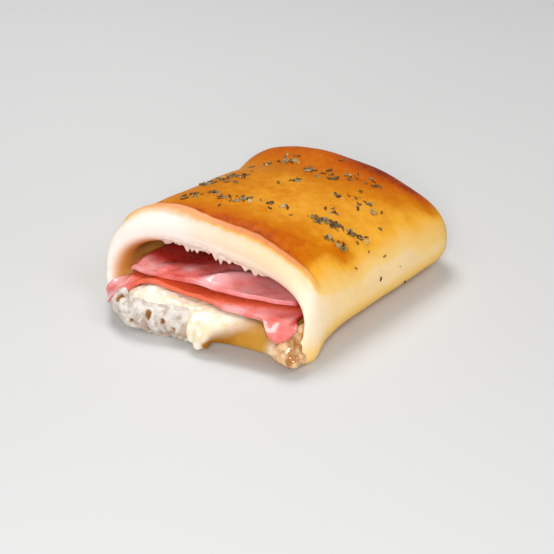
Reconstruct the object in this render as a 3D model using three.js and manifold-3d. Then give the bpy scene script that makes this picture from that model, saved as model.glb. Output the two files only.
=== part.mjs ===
// A baked ham and cheese roll: a soft dough sleeve, torn open at the front and closed at the back,
// with melted cheese and two slices of ham lying in it, and dried oregano baked onto its top.
// Millimetres. +X runs to the right along the open mouth, +Y to the closed back and +Z up.
// The origin is on the surface that the roll rests on.

import * as THREE from 'three';
import { mergeVertices } from 'three/addons/utils/BufferGeometryUtils.js';
import Module from 'manifold-3d';

const { clamp, degToRad, lerp, smoothstep } = THREE.MathUtils;

// Dough sleeve, outside
const LENGTH = 118;
const WIDTH = 97;
const HEIGHT = 41;
const BACK_HEIGHT = 37.5;
const BACK_FALL = [0.5, 1];
const WIDEST_HEIGHT = 14;
const BASE_SINK = 0.6;
const CROWN_POWER = 2.3;
const BASE_POWER = 3;
const SIDE_SKEW = 2.5;
const BACK_FLARE = 1;
const BACK_ROUNDING = 24;
const BACK_POWER = 3;

// Swellings and dents of the dough: size outwards, place along the roll (0 mouth, 1 back) and
// round the section (degrees from +X towards +Z), each with its reach
const SWELLINGS = [
  { size: 2.6, along: 0.87, alongReach: 0.09, angle: 130, angleReach: 40 },
  { size: -1.6, along: 0.73, alongReach: 0.08, angle: 125, angleReach: 40 },
  { size: 3.8, along: 0.06, alongReach: 0.3, angle: 158, angleReach: 36 },
  { size: -3.5, along: 0.02, alongReach: 0.12, angle: 208, angleReach: 22 },
  { size: 1.4, along: 0.32, alongReach: 0.2, angle: 125, angleReach: 26 },
  { size: -3.0, along: 1.05, alongReach: 0.3, angle: 48, angleReach: 34 },
  { size: 4.0, along: 0.05, alongReach: 0.14, angle: 325, angleReach: 24 },
];

// Mouth and its lip, with the torn crumb and the sagging right corner that reach forwards
const ROOF_SETBACK = 17.5;
const LIP_DEPTH = 9;
const MOUTH_X = -1.5;
const MOUTH_HALF_WIDTH = 41.5;
const MOUTH_TOP = 24.6;
const MOUTH_WIDEST = 13;
const MOUTH_FLOOR = 8;
const MOUTH_TOP_POWER = 2.6;
const MOUTH_FLOOR_POWER = 3.2;
const MOUTH_TILT = 2.5;
const MOUTH_TILT_START = 11;
const CRUMB_ANGLE = 248;
const CRUMB_SPREAD = 24;
const CRUMB_REACH = 8.5;
const CRUMB_FACE_POWER = 0.45;
const FOOT_ANGLE = 330;
const FOOT_SPREAD = 14;
const FOOT_REACH = 5;

// Cavity behind the lip, with a pocket of air under its roof
const CAVITY_END = 36;
const CAVITY_POWER = 3;
const POCKET_RISE = 3;
const POCKET_OPENS = [0.04, 0.3];
const POCKET_CLOSES = [0.4, 0.9];

// Torn crumb on the left half of the lower lip: lumps, and pores cut into it
const LUMPS = 48;
const LUMP_RADII = [1.3, 2.3];
const LUMP_SINK_SHARE = 0.4;
const LUMP_ACROSS = [-0.92, -0.06];
const LUMP_LOWEST = 0.12;
const LUMP_MARGIN = 0.12;
const PORES = [
  { across: -0.66, turn: 0.5, radius: 1.6 },
  { across: -0.47, turn: 0.4, radius: 2.0 },
  { across: -0.33, turn: 0.55, radius: 1.4 },
  { across: -0.22, turn: 0.3, radius: 1.3 },
];

// Torn points of dough under the roof of the mouth
const TEETH = 11;
const TEETH_ANGLES = [72, 121];
const TOOTH_WANDER = 2.5;
const TOOTH_TURN = 0.86;
const TOOTH_RADII = [1.2, 2.2];
const TOOTH_DROPS = [0.8, 2.2];
const TOOTH_ROOT = 2;
const TOOTH_STRETCH = 1.5;
const TOOTH_SIDES = 5;

// Dried oregano on the crown, in patches where it lies thick
const OREGANO_PATCHES = [
  { x: 31, y: -9, reach: 8, flakes: 15 },
  { x: -28, y: -1, reach: 6, flakes: 11 },
  { x: -17, y: -20, reach: 6, flakes: 6 },
  { x: 2, y: 9, reach: 4, flakes: 4 },
  { x: 4, y: 25, reach: 10, flakes: 8 },
  { x: 4, y: -13, reach: 7, flakes: 5 },
  { x: 24, y: 13, reach: 10, flakes: 7 },
];
const FLAKE_LENGTHS = [2, 3.4];
const FLAKE_WIDTH_SHARES = [0.36, 0.6];
const FLAKE_THICKNESS = 0.8;
const FLAKE_SIDES = 6;

// Fillings. A place on them is given across the mouth (-1 left, 1 right) and inwards (0 on the inner
// edge of the lip, 1 at the end of the cavity, -1 at the front of the lip and -2 under it).
const CLEARANCE = 0.35;
const LAYER_GAP = 0.6;
const NARROWING = 0.94;
const NARROWING_DEPTHS = [-0.2, 0.1];
const FRONT_CROWDING = 1.5;

const CHEESE_LEFT = -0.64;
const CHEESE_RIGHT = 0.975;
const CHEESE_END = 0.84;
const SLAB_FRONT = -0.2;
const SLAB_THICKNESS = 4.8;
const SLAB_RISE = [-0.8, -0.66];
const MELT_REACH = 0.55;
const MELT_START = [-0.25, 0.05];
const MELT_THICKNESS = 4.2;
const MELT_THINNING = [-0.3, 0.35];
const CORNER_REACH = 0.25;
const CORNER_START = [0.85, 0.95];
const CORNER_LIFT = 0.5;
const CORNER_LIFT_START = [0.8, 0.95];
const CHEESE_END_SHARE = 0.5;
const DRIP_CENTRE = [6, -64.2, 4.9];
const DRIP_RADII = [2.7, 2.1, 4.5];

const HAM_THICKNESS = 1.9;
const LOWER_HAM_LEFT = -0.95;
const LOWER_HAM_RIGHT = 0.99;
const LOWER_HAM_FRONT = 0.02;
const LOWER_HAM_END = 0.78;
const LOWER_HAM_ARCH = { rise: 0.5, across: 0.1, reach: 0.4 };
const HAM_TONGUES = [
  { across: 0.95, reach: 0.2, hang: 0.6 },
  { across: -0.87, reach: 0.18, hang: 1.05 },
];
const UPPER_HAM_LEFT = -0.94;
const UPPER_HAM_RIGHT = 0.88;
const UPPER_HAM_FRONT = 0.06;
const UPPER_HAM_END = 0.7;
const UPPER_HAM_WAVE = { size: 0.01, rate: 6 };
const UPPER_HAM_SETBACK = 0.06;
const UPPER_HAM_SETBACK_START = [0.2, 0.9];
const PARTING = { rise: 3.3, across: -0.25, reach: 0.6, depth: 0.45 };

// Fineness of the facets
const SEGMENTS = 64;
const BACK_RINGS = 8;
const SIDE_RINGS = 12;
const LIP_RINGS = 8;
const CAVITY_RINGS = 8;
const SHEET_COLUMNS = 26;
const SHEET_ROWS = 10;
const DRIP_FACETS = [12, 8];
const SLOPE_STEP = 0.01;
const MERGE_DISTANCE = 1e-4;
const SEED = 17;

const wasm = await Module();
wasm.setup();

// Small maths

function signedPower(value, power) {
  return Math.sign(value) * Math.abs(value) ** power;
}

function ramp(value, [start, end]) {
  return smoothstep(value, start, end);
}

function hump(value, centre, reach) {
  return Math.exp(-(((value - centre) / reach) ** 2));
}

function plateau(value, centre, reach) {
  return Math.exp(-(((value - centre) / reach) ** 4));
}

function angleHump(angle, centre, reach) {
  const turn = angle - degToRad(centre);
  const nearest = Math.atan2(Math.sin(turn), Math.cos(turn));
  return hump(nearest, 0, degToRad(reach));
}

function seededRandom(seed) {
  let state = seed;
  return () => {
    state = (state + 0x6d2b79f5) | 0;
    let mixed = Math.imul(state ^ (state >>> 15), 1 | state);
    mixed = (mixed + Math.imul(mixed ^ (mixed >>> 7), 61 | mixed)) ^ mixed;
    return ((mixed ^ (mixed >>> 14)) >>> 0) / 2 ** 32;
  };
}

function between([low, high], random) {
  return lerp(low, high, random());
}

function anyTurn(random) {
  return 2 * Math.PI * random();
}

// Dough sleeve: one surface from the middle of the back, along the outside, round the lip of the
// mouth and along the cavity to its end. A station of 0 to 1 lies outside, 1 to 2 on the lip and
// 2 to 3 in the cavity.

function crownedSection(angle, form) {
  const upper = Math.sin(angle) >= 0;
  const power = 2 / (upper ? form.topPower : form.floorPower);
  const rise = upper ? form.top - form.widest : form.widest - form.floor;
  return {
    x: form.x + form.halfWidth * signedPower(Math.cos(angle), power),
    z: form.widest + rise * signedPower(Math.sin(angle), power),
  };
}

function placeAlong(y) {
  return (y + LENGTH / 2) / LENGTH;
}

function middleX(along) {
  return SIDE_SKEW * (2 * along - 1);
}

function outsideSection(angle, y) {
  const along = placeAlong(y);
  const point = crownedSection(angle, {
    x: middleX(along),
    halfWidth: WIDTH / 2 + BACK_FLARE * (2 * along - 1),
    widest: WIDEST_HEIGHT,
    top: lerp(HEIGHT, BACK_HEIGHT, ramp(along, BACK_FALL)),
    floor: -BASE_SINK,
    topPower: CROWN_POWER,
    floorPower: BASE_POWER,
  });
  for (const swelling of SWELLINGS) {
    const share = hump(along, swelling.along, swelling.alongReach)
      * angleHump(angle, swelling.angle, swelling.angleReach);
    point.x += swelling.size * share * Math.cos(angle);
    point.z += swelling.size * share * Math.sin(angle);
  }
  return point;
}

function mouthSection(angle) {
  const point = crownedSection(angle, {
    x: MOUTH_X,
    halfWidth: MOUTH_HALF_WIDTH,
    widest: MOUTH_WIDEST,
    top: MOUTH_TOP,
    floor: MOUTH_FLOOR,
    topPower: MOUTH_TOP_POWER,
    floorPower: MOUTH_FLOOR_POWER,
  });
  const slope = MOUTH_TILT * (point.x - MOUTH_X) / MOUTH_HALF_WIDTH;
  point.z -= slope * ramp(point.z, [MOUTH_TILT_START, MOUTH_TOP]);
  return point;
}

function crumbShare(angle) {
  return angleHump(angle, CRUMB_ANGLE, CRUMB_SPREAD);
}

function lipStart(angle) {
  const setback = ROOF_SETBACK * (0.5 + 0.5 * Math.sin(angle));
  const foot = FOOT_REACH * angleHump(angle, FOOT_ANGLE, FOOT_SPREAD);
  return LIP_DEPTH - LENGTH / 2 + setback - CRUMB_REACH * crumbShare(angle) - foot;
}

function outsidePoint(angle, station) {
  const roundingEnd = LENGTH / 2 - BACK_ROUNDING;
  let y = lerp(roundingEnd, lipStart(angle), 2 * station - 1);
  let spread = 1;
  if (station < 0.5) {
    const turn = station * Math.PI;
    y = roundingEnd + BACK_ROUNDING * Math.cos(turn) ** (2 / BACK_POWER);
    spread = Math.sin(turn) ** (2 / BACK_POWER);
  }
  const edge = outsideSection(angle, y);
  const x = lerp(middleX(placeAlong(y)), edge.x, spread);
  const z = lerp(WIDEST_HEIGHT, edge.z, spread);
  return new THREE.Vector3(x, y, Math.max(z, 0));
}

function lipPoint(angle, turn) {
  const y = lipStart(angle);
  const outer = outsideSection(angle, y);
  const inner = mouthSection(angle);
  const inwards = 0.5 - 0.5 * Math.cos(turn);
  const power = lerp(1, CRUMB_FACE_POWER, crumbShare(angle));
  const forward = LIP_DEPTH * Math.max(Math.sin(turn), 0) ** power;
  const z = lerp(outer.z, inner.z, inwards);
  return new THREE.Vector3(lerp(outer.x, inner.x, inwards), y - forward, Math.max(z, 0));
}

function cavityPoint(angle, depth) {
  const edge = mouthSection(angle);
  const spread = Math.sqrt(1 - Math.min(depth, 1) ** CAVITY_POWER);
  const pocket = ramp(depth, POCKET_OPENS) * (1 - ramp(depth, POCKET_CLOSES));
  const rise = POCKET_RISE * pocket * Math.max(Math.sin(angle), 0);
  const x = lerp(MOUTH_X, edge.x, spread);
  const z = lerp(MOUTH_WIDEST, edge.z, spread) + rise;
  return new THREE.Vector3(x, lerp(lipStart(angle), CAVITY_END, depth), z);
}

function sleevePoint(angle, station) {
  if (station <= 1) {
    return outsidePoint(angle, station);
  }
  if (station <= 2) {
    return lipPoint(angle, (station - 1) * Math.PI);
  }
  return cavityPoint(angle, station - 2);
}

function sleeveNormal(angle, station) {
  const step = SLOPE_STEP;
  const along = sleevePoint(angle, station + step).sub(sleevePoint(angle, station - step));
  const round = sleevePoint(angle + step, station).sub(sleevePoint(angle - step, station));
  return round.cross(along).normalize();
}

function evenSteps(count, place) {
  return Array.from({ length: count }, (_, i) => place((i + 1) / count));
}

function stations() {
  return [
    0,
    ...evenSteps(BACK_RINGS, (share) => 0.5 * share),
    ...evenSteps(SIDE_RINGS, (share) => 0.5 + 0.5 * share),
    ...evenSteps(LIP_RINGS, (share) => 1 + share),
    ...evenSteps(CAVITY_RINGS, (share) => 2 + Math.sin((Math.PI / 2) * share)),
  ];
}

function sleeveGeometry() {
  const rings = stations();
  const profile = rings.map((_, i) => {
    const turn = (Math.PI * i) / (rings.length - 1);
    return new THREE.Vector2(Math.sin(turn), -Math.cos(turn));
  });
  const geometry = new THREE.LatheGeometry(profile, SEGMENTS);
  const position = geometry.getAttribute('position');
  for (let i = 0; i < position.count; i += 1) {
    const column = Math.floor(i / rings.length) % SEGMENTS;
    const point = sleevePoint((2 * Math.PI * column) / SEGMENTS, rings[i % rings.length]);
    position.setXYZ(i, point.x, point.y, point.z);
  }
  return geometry;
}

// Closed geometries as solids, and back

function asSolid(geometry) {
  const bare = new THREE.BufferGeometry();
  bare.setAttribute('position', geometry.getAttribute('position'));
  bare.setIndex(geometry.getIndex());
  const merged = mergeVertices(bare, MERGE_DISTANCE);
  const corners = merged.getIndex().array;
  const triangles = [];
  for (let i = 0; i < corners.length; i += 3) {
    const [a, b, c] = corners.slice(i, i + 3);
    if (a !== b && b !== c && c !== a) {
      triangles.push(a, b, c);
    }
  }
  return new wasm.Manifold(new wasm.Mesh({
    numProp: 3,
    vertProperties: merged.getAttribute('position').array,
    triVerts: new Uint32Array(triangles),
  }));
}

function asGeometry(solid) {
  const mesh = solid.getMesh();
  const geometry = new THREE.BufferGeometry();
  geometry.setAttribute('position', new THREE.BufferAttribute(mesh.vertProperties, 3));
  geometry.setIndex(new THREE.BufferAttribute(mesh.triVerts, 1));
  geometry.computeVertexNormals();
  return geometry;
}

// Fillings: sheets that lie on the floor of the cavity and drape over the lower lip

function floorAngle(across) {
  return 2 * Math.PI - Math.acos(signedPower(across, MOUTH_FLOOR_POWER / 2));
}

function floorPoint(across, inwards) {
  return sleevePoint(floorAngle(across), inwards < 0 ? 2 + inwards / 2 : 2 + inwards);
}

function liftedPoint(across, inwards, lift) {
  const step = 2 * SLOPE_STEP;
  const run = floorPoint(across, inwards + step).sub(floorPoint(across, inwards - step));
  const size = Math.hypot(run.y, run.z);
  const point = floorPoint(across, inwards);
  point.y -= (lift * run.z) / size;
  point.z += (lift * run.y) / size;
  return point;
}

function cheeseFront(across) {
  return SLAB_FRONT - MELT_REACH * ramp(across, MELT_START) - CORNER_REACH * ramp(across, CORNER_START);
}

function cheeseBottom(across) {
  return CLEARANCE + CORNER_LIFT * ramp(across, CORNER_LIFT_START);
}

function cheeseTop(across, inwards) {
  const thickness = lerp(SLAB_THICKNESS, MELT_THICKNESS, ramp(across, MELT_THINNING));
  const thinned = lerp(1, CHEESE_END_SHARE, clamp(inwards, 0, 1));
  return CLEARANCE + thickness * thinned * ramp(across, SLAB_RISE);
}

function lowerHamFront(across) {
  const hangs = HAM_TONGUES.map((tongue) => tongue.hang * plateau(across, tongue.across, tongue.reach));
  return hangs.reduce((front, hang) => front - hang, LOWER_HAM_FRONT);
}

function lowerHamBottom(across, inwards) {
  const arch = LOWER_HAM_ARCH.rise * hump(across, LOWER_HAM_ARCH.across, LOWER_HAM_ARCH.reach);
  return cheeseTop(across, inwards) + LAYER_GAP + arch;
}

function upperHamFront(across) {
  const wave = UPPER_HAM_WAVE.size * Math.sin(UPPER_HAM_WAVE.rate * across);
  return UPPER_HAM_FRONT + wave + UPPER_HAM_SETBACK * ramp(across, UPPER_HAM_SETBACK_START);
}

function upperHamBottom(across, inwards) {
  const parting = PARTING.rise * hump(across, PARTING.across, PARTING.reach);
  const closing = 1 - ramp(inwards, [0, PARTING.depth]);
  return lowerHamBottom(across, inwards) + HAM_THICKNESS + LAYER_GAP + parting * closing;
}

const CHEESE = {
  left: CHEESE_LEFT,
  right: CHEESE_RIGHT,
  end: CHEESE_END,
  front: cheeseFront,
  bottom: cheeseBottom,
  top: cheeseTop,
};

const LOWER_HAM = {
  left: LOWER_HAM_LEFT,
  right: LOWER_HAM_RIGHT,
  end: LOWER_HAM_END,
  front: lowerHamFront,
  bottom: lowerHamBottom,
  top: (across, inwards) => lowerHamBottom(across, inwards) + HAM_THICKNESS,
};

const UPPER_HAM = {
  left: UPPER_HAM_LEFT,
  right: UPPER_HAM_RIGHT,
  end: UPPER_HAM_END,
  front: upperHamFront,
  bottom: upperHamBottom,
  top: (across, inwards) => upperHamBottom(across, inwards) + HAM_THICKNESS,
};

// The lower face of a subdivided box gets the diagonals of its upper face.
function alignDiagonals(geometry) {
  const index = geometry.getIndex();
  const { start, count } = geometry.groups[5];
  for (let i = start; i < start + count; i += 6) {
    const [a, b, d] = [index.getX(i), index.getX(i + 1), index.getX(i + 2)];
    const c = index.getX(i + 4);
    [a, b, c, a, c, d].forEach((corner, k) => index.setX(i + k, corner));
  }
}

function sheetGeometry(sheet) {
  const geometry = new THREE.BoxGeometry(1, 1, 1, SHEET_COLUMNS, SHEET_ROWS, 1);
  alignDiagonals(geometry);
  const position = geometry.getAttribute('position');
  for (let i = 0; i < position.count; i += 1) {
    const across = lerp(sheet.left, sheet.right, position.getX(i) + 0.5);
    const row = (position.getY(i) + 0.5) ** FRONT_CROWDING;
    const inwards = lerp(sheet.front(across), sheet.end, row);
    const narrowed = across * lerp(1, NARROWING, ramp(inwards, NARROWING_DEPTHS));
    const lift = (position.getZ(i) > 0 ? sheet.top : sheet.bottom)(narrowed, inwards);
    const point = liftedPoint(narrowed, inwards, lift);
    position.setXYZ(i, point.x, point.y, point.z);
  }
  return geometry;
}

// Small pieces fused to the sleeve

function seated(geometry, point, up, yaw) {
  geometry.rotateY(yaw);
  geometry.applyQuaternion(new THREE.Quaternion().setFromUnitVectors(THREE.Object3D.DEFAULT_UP, up));
  geometry.translate(point.x, point.y, point.z);
  return asSolid(geometry);
}

function tornLump(random) {
  const across = between(LUMP_ACROSS, random);
  const covered = 1 + Math.min(cheeseFront(across), lowerHamFront(across)) / 2;
  const station = 1 + between([LUMP_LOWEST, covered - LUMP_MARGIN], random);
  const angle = floorAngle(across);
  const normal = sleeveNormal(angle, station);
  const radius = between(LUMP_RADII, random);
  const point = sleevePoint(angle, station).addScaledVector(normal, -LUMP_SINK_SHARE * radius);
  point.z = Math.max(point.z, radius);
  return seated(new THREE.IcosahedronGeometry(radius), point, normal, anyTurn(random));
}

function crumbPore({ across, turn, radius }) {
  const angle = floorAngle(across);
  const station = 1 + turn;
  const geometry = new THREE.IcosahedronGeometry(radius);
  return seated(geometry, sleevePoint(angle, station), sleeveNormal(angle, station), 0);
}

function tornTooth(share, random) {
  const wander = between([-TOOTH_WANDER, TOOTH_WANDER], random);
  const angle = degToRad(lerp(...TEETH_ANGLES, share) + wander);
  const drop = between(TOOTH_DROPS, random);
  const height = drop + TOOTH_ROOT;
  const geometry = new THREE.ConeGeometry(between(TOOTH_RADII, random), height, TOOTH_SIDES);
  geometry.rotateY(anyTurn(random));
  geometry.scale(TOOTH_STRETCH, 1, 1);
  const point = sleevePoint(angle, 1 + TOOTH_TURN);
  point.z += height / 2 - drop;
  return seated(geometry, point, new THREE.Vector3(0, 0, -1), 0);
}

function crownPlace(x, y) {
  const share = (x - middleX(placeAlong(y))) / (WIDTH / 2);
  const angle = Math.acos(signedPower(clamp(share, -1, 1), CROWN_POWER / 2));
  const roundingEnd = LENGTH / 2 - BACK_ROUNDING;
  const station = 0.5 + (0.5 * (roundingEnd - y)) / (roundingEnd - lipStart(angle));
  return { angle, station };
}

function oreganoFlake(patch, random) {
  const reach = patch.reach * Math.sqrt(random());
  const turn = anyTurn(random);
  const x = patch.x + reach * Math.cos(turn);
  const y = patch.y + reach * Math.sin(turn);
  const { angle, station } = crownPlace(x, y);
  const length = between(FLAKE_LENGTHS, random);
  const geometry = new THREE.CylinderGeometry(0.5, 0.5, FLAKE_THICKNESS, FLAKE_SIDES);
  geometry.scale(length, 1, length * between(FLAKE_WIDTH_SHARES, random));
  return seated(geometry, sleevePoint(angle, station), sleeveNormal(angle, station), anyTurn(random));
}

function largestPiece(solid) {
  return solid.decompose().reduce((best, piece) => (piece.volume() > best.volume() ? piece : best));
}

function breadSolid() {
  const random = seededRandom(SEED);
  let bread = asSolid(sleeveGeometry());
  for (let i = 0; i < LUMPS; i += 1) {
    bread = bread.add(tornLump(random));
  }
  for (const pore of PORES) {
    bread = bread.subtract(crumbPore(pore));
  }
  for (let i = 0; i < TEETH; i += 1) {
    bread = bread.add(tornTooth(i / (TEETH - 1), random));
  }
  for (const patch of OREGANO_PATCHES) {
    for (let i = 0; i < patch.flakes; i += 1) {
      bread = bread.add(oreganoFlake(patch, random));
    }
  }
  return largestPiece(bread);
}

function cheeseSolid() {
  const drip = new THREE.SphereGeometry(1, ...DRIP_FACETS);
  drip.scale(...DRIP_RADII);
  drip.translate(...DRIP_CENTRE);
  return asSolid(sheetGeometry(CHEESE)).add(asSolid(drip));
}

function part(name, solid, color, roughness) {
  const material = new THREE.MeshStandardMaterial({ color, roughness, metalness: 0 });
  const mesh = new THREE.Mesh(asGeometry(solid), material);
  mesh.name = name;
  return mesh;
}

const roll = new THREE.Group();
roll.add(part('bread_roll', breadSolid(), 0xe0a040, 0.55));
roll.add(part('cheese_melt', cheeseSolid(), 0xf1e6b8, 0.4));
roll.add(part('ham_lower', asSolid(sheetGeometry(LOWER_HAM)), 0xe07868, 0.4));
roll.add(part('ham_upper', asSolid(sheetGeometry(UPPER_HAM)), 0xd9706c, 0.4));

export default roll;
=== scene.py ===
# %% [markdown]
# # A baked ham and cheese roll
# A filled roll is a sleeve of soft dough, baked golden on top, with ham and melted cheese inside. The
# solids already give its form in plain facets. Each piece is made here once more with a fine surface and
# a finish of its own. The solids are loaded first, because every new piece stands where its solid stands.

# %% Load the solids
import math

import bmesh
import bpy
import numpy as np
from mathutils import Matrix, Vector, noise
from mathutils.bvhtree import BVHTree


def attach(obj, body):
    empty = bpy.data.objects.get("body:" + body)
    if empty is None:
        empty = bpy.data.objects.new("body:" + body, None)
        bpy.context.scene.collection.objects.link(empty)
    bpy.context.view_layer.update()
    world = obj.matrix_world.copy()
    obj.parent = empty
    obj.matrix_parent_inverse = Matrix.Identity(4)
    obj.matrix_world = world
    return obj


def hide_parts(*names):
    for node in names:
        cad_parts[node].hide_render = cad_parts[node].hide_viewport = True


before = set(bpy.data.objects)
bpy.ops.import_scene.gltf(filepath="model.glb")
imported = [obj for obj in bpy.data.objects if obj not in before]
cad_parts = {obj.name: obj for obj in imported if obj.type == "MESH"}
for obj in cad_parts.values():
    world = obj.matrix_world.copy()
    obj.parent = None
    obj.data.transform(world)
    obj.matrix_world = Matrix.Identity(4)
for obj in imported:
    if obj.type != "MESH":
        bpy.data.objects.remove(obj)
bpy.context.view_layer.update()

MM = 0.001
scene = bpy.context.scene
print("solids:", ", ".join(sorted(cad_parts)))

# %% [markdown]
# ## Camera
# The roll is seen from above its right front corner, through a long lens. A camera could be turned by
# eye until it fits. Here it is placed by its angles round a target point, which are easy to read and to
# change, and the lens comes from the focal length in pixels of a square picture.

# %% Camera
AZIMUTH = math.radians(34.5)
ELEVATION = math.radians(28)
DISTANCE = 0.65
TARGET = Vector((0.0125, -0.021, 0.015))
SENSOR = 36
FOCAL_PIXELS = 1690
PICTURE_PIXELS = 554


def direction(azimuth, elevation):
    level = math.cos(elevation)
    return Vector((math.sin(azimuth) * level, -math.cos(azimuth) * level, math.sin(elevation)))


def aim(thing, away, distance):
    thing.location = TARGET + distance * away
    thing.rotation_euler = away.to_track_quat("Z", "Y").to_euler()
    scene.collection.objects.link(thing)


lens = bpy.data.cameras.new("camera")
lens.sensor_width = SENSOR
lens.lens = SENSOR * FOCAL_PIXELS / PICTURE_PIXELS
camera = bpy.data.objects.new("camera", lens)
aim(camera, direction(AZIMUTH, ELEVATION), DISTANCE)
scene.camera = camera
print(f"lens {lens.lens:.0f} mm at {DISTANCE} m")

# %% [markdown]
# ## The form of the dough
# The dough is one skin: from the middle of the back along the outside, round the lip of the mouth and
# back along the cavity. It could be sculpted by hand. A few formulas are chosen instead, the same ones
# that shaped the solid, so that the fine skin lies on the plain one. All sizes are in millimetres, and
# each formula takes whole arrays of points at once.

# %% Small curves
def ramp(value, start, end):
    share = np.clip((value - start) / (end - start), 0, 1)
    return share * share * (3 - 2 * share)


def blend(low, high, share):
    return low + (high - low) * share


def hump(value, centre, reach):
    return np.exp(-(((value - centre) / reach) ** 2))


def plateau(value, centre, reach):
    return np.exp(-(((value - centre) / reach) ** 4))


def turn_hump(angle, centre, reach):
    turn = angle - math.radians(centre)
    return hump(np.arctan2(np.sin(turn), np.cos(turn)), 0, math.radians(reach))


def signed_power(value, power):
    return np.sign(value) * np.abs(value) ** power


print("ramp at a quarter:", round(float(ramp(0.25, 0, 1)), 3))

# %% Outside of the sleeve
LENGTH = 118
WIDTH = 97
HEIGHT = 41
BACK_HEIGHT = 37.5
WIDEST_HEIGHT = 14
BASE_SINK = 0.6
CROWN_POWER = 2.3
BASE_POWER = 3
SIDE_SKEW = 2.5
BACK_FLARE = 1
BACK_ROUNDING = 24
BACK_POWER = 3

# Swellings and dents: size, place along and its reach, angle round the section and its reach
SWELLINGS = (
    (2.6, 0.87, 0.09, 130, 40),
    (-1.6, 0.73, 0.08, 125, 40),
    (3.8, 0.06, 0.30, 158, 36),
    (-3.5, 0.02, 0.12, 208, 22),
    (1.4, 0.32, 0.20, 125, 26),
    (-3.0, 1.05, 0.30, 48, 34),
    (4.0, 0.05, 0.14, 325, 24),
    (3.0, 0.07, 0.09, 330, 20),
)


def crowned_section(angle, x, half_width, widest, top, floor, powers):
    upper = np.sin(angle) >= 0
    power = 2 / np.where(upper, powers[0], powers[1])
    rise = np.where(upper, top - widest, widest - floor)
    across = x + half_width * signed_power(np.cos(angle), power)
    return across, widest + rise * signed_power(np.sin(angle), power)


def outside_section(angle, y):
    along = (y + LENGTH / 2) / LENGTH
    lean = 2 * along - 1
    top = blend(HEIGHT, BACK_HEIGHT, ramp(along, 0.5, 1))
    half_width = WIDTH / 2 + BACK_FLARE * lean
    powers = (CROWN_POWER, BASE_POWER)
    x, z = crowned_section(angle, SIDE_SKEW * lean, half_width, WIDEST_HEIGHT, top, -BASE_SINK, powers)
    for size, place, place_reach, turn, turn_reach in SWELLINGS:
        swelling = size * hump(along, place, place_reach) * turn_hump(angle, turn, turn_reach)
        x = x + swelling * np.cos(angle)
        z = z + swelling * np.sin(angle)
    return x, z


print("sleeve in mm:", LENGTH, "long,", WIDTH, "wide,", HEIGHT, "high")

# %% Mouth and lip
ROOF_SETBACK = 17.5
LIP_DEPTH = 9
MOUTH_X = -1.5
MOUTH_HALF_WIDTH = 41.5
MOUTH_TOP = 24.6
MOUTH_WIDEST = 13
MOUTH_FLOOR = 8
MOUTH_TILT = 2.5
MOUTH_TILT_START = 11
MOUTH_POWERS = (2.6, 3.2)
MOUTH_BULGE = 2.2
CRUMB_REACH = 8.5
FOOT_REACH = 1.5

# Places round the mouth: angle and reach in degrees, from the right over the top
BULGE_PLACE = (350, 32)
CRUMB_PLACE = (248, 24)
FOOT_PLACE = (330, 14)


def mouth_section(angle):
    x, z = crowned_section(
        angle, MOUTH_X, MOUTH_HALF_WIDTH, MOUTH_WIDEST, MOUTH_TOP, MOUTH_FLOOR, MOUTH_POWERS
    )
    slope = MOUTH_TILT * (x - MOUTH_X) / MOUTH_HALF_WIDTH
    bulge = MOUTH_BULGE * turn_hump(angle, *BULGE_PLACE)
    return x + bulge, z - slope * ramp(z, MOUTH_TILT_START, MOUTH_TOP)


def lip_start(angle):
    setback = ROOF_SETBACK * (0.5 + 0.5 * np.sin(angle))
    crumb = CRUMB_REACH * turn_hump(angle, *CRUMB_PLACE)
    foot = FOOT_REACH * turn_hump(angle, *FOOT_PLACE)
    return LIP_DEPTH - LENGTH / 2 + setback - crumb - foot


print("mouth in mm:", 2 * MOUTH_HALF_WIDTH, "wide,", round(MOUTH_TOP - MOUTH_FLOOR, 1), "high")

# %% Points on the sleeve
CRUMB_FACE_POWER = 0.45
ROOF_PLACE = (96, 42)
ROOF_FACE_POWER = 0.42
CAVITY_END = 36
CAVITY_POWER = 3
POCKET_RISE = 3


def outside_point(angle, station):
    rounding_end = LENGTH / 2 - BACK_ROUNDING
    turn = np.minimum(station, 0.5) * np.pi
    cap = rounding_end + BACK_ROUNDING * np.clip(np.cos(turn), 0, 1) ** (2 / BACK_POWER)
    side = blend(rounding_end, lip_start(angle), 2 * station - 1)
    y = np.where(station < 0.5, cap, side)
    spread = np.sin(turn) ** (2 / BACK_POWER)
    x, z = outside_section(angle, y)
    middle = SIDE_SKEW * 2 * y / LENGTH
    z = np.maximum(blend(WIDEST_HEIGHT, z, spread), 0)
    return np.stack(np.broadcast_arrays(blend(middle, x, spread), y, z), -1)


def lip_point(angle, turn):
    start = lip_start(angle)
    outer_x, outer_z = outside_section(angle, start)
    inner_x, inner_z = mouth_section(angle)
    inwards = 0.5 - 0.5 * np.cos(turn)
    power = blend(1, CRUMB_FACE_POWER, turn_hump(angle, *CRUMB_PLACE))
    roof_face = turn_hump(angle, *ROOF_PLACE) * ramp(turn, 0.5 * np.pi, 0.7 * np.pi)
    power = blend(power, ROOF_FACE_POWER, roof_face)
    forward = LIP_DEPTH * np.clip(np.sin(turn), 0, 1) ** power
    x = blend(outer_x, inner_x, inwards)
    z = np.maximum(blend(outer_z, inner_z, inwards), 0)
    return np.stack(np.broadcast_arrays(x, start - forward, z), -1)


def cavity_point(angle, depth):
    edge_x, edge_z = mouth_section(angle)
    spread = np.sqrt(1 - depth**CAVITY_POWER)
    pocket = ramp(depth, 0.04, 0.3) * (1 - ramp(depth, 0.4, 0.9))
    rise = POCKET_RISE * pocket * np.maximum(np.sin(angle), 0)
    x = blend(MOUTH_X, edge_x, spread)
    z = blend(MOUTH_WIDEST, edge_z, spread) + rise
    return np.stack(np.broadcast_arrays(x, blend(lip_start(angle), CAVITY_END, depth), z), -1)


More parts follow.
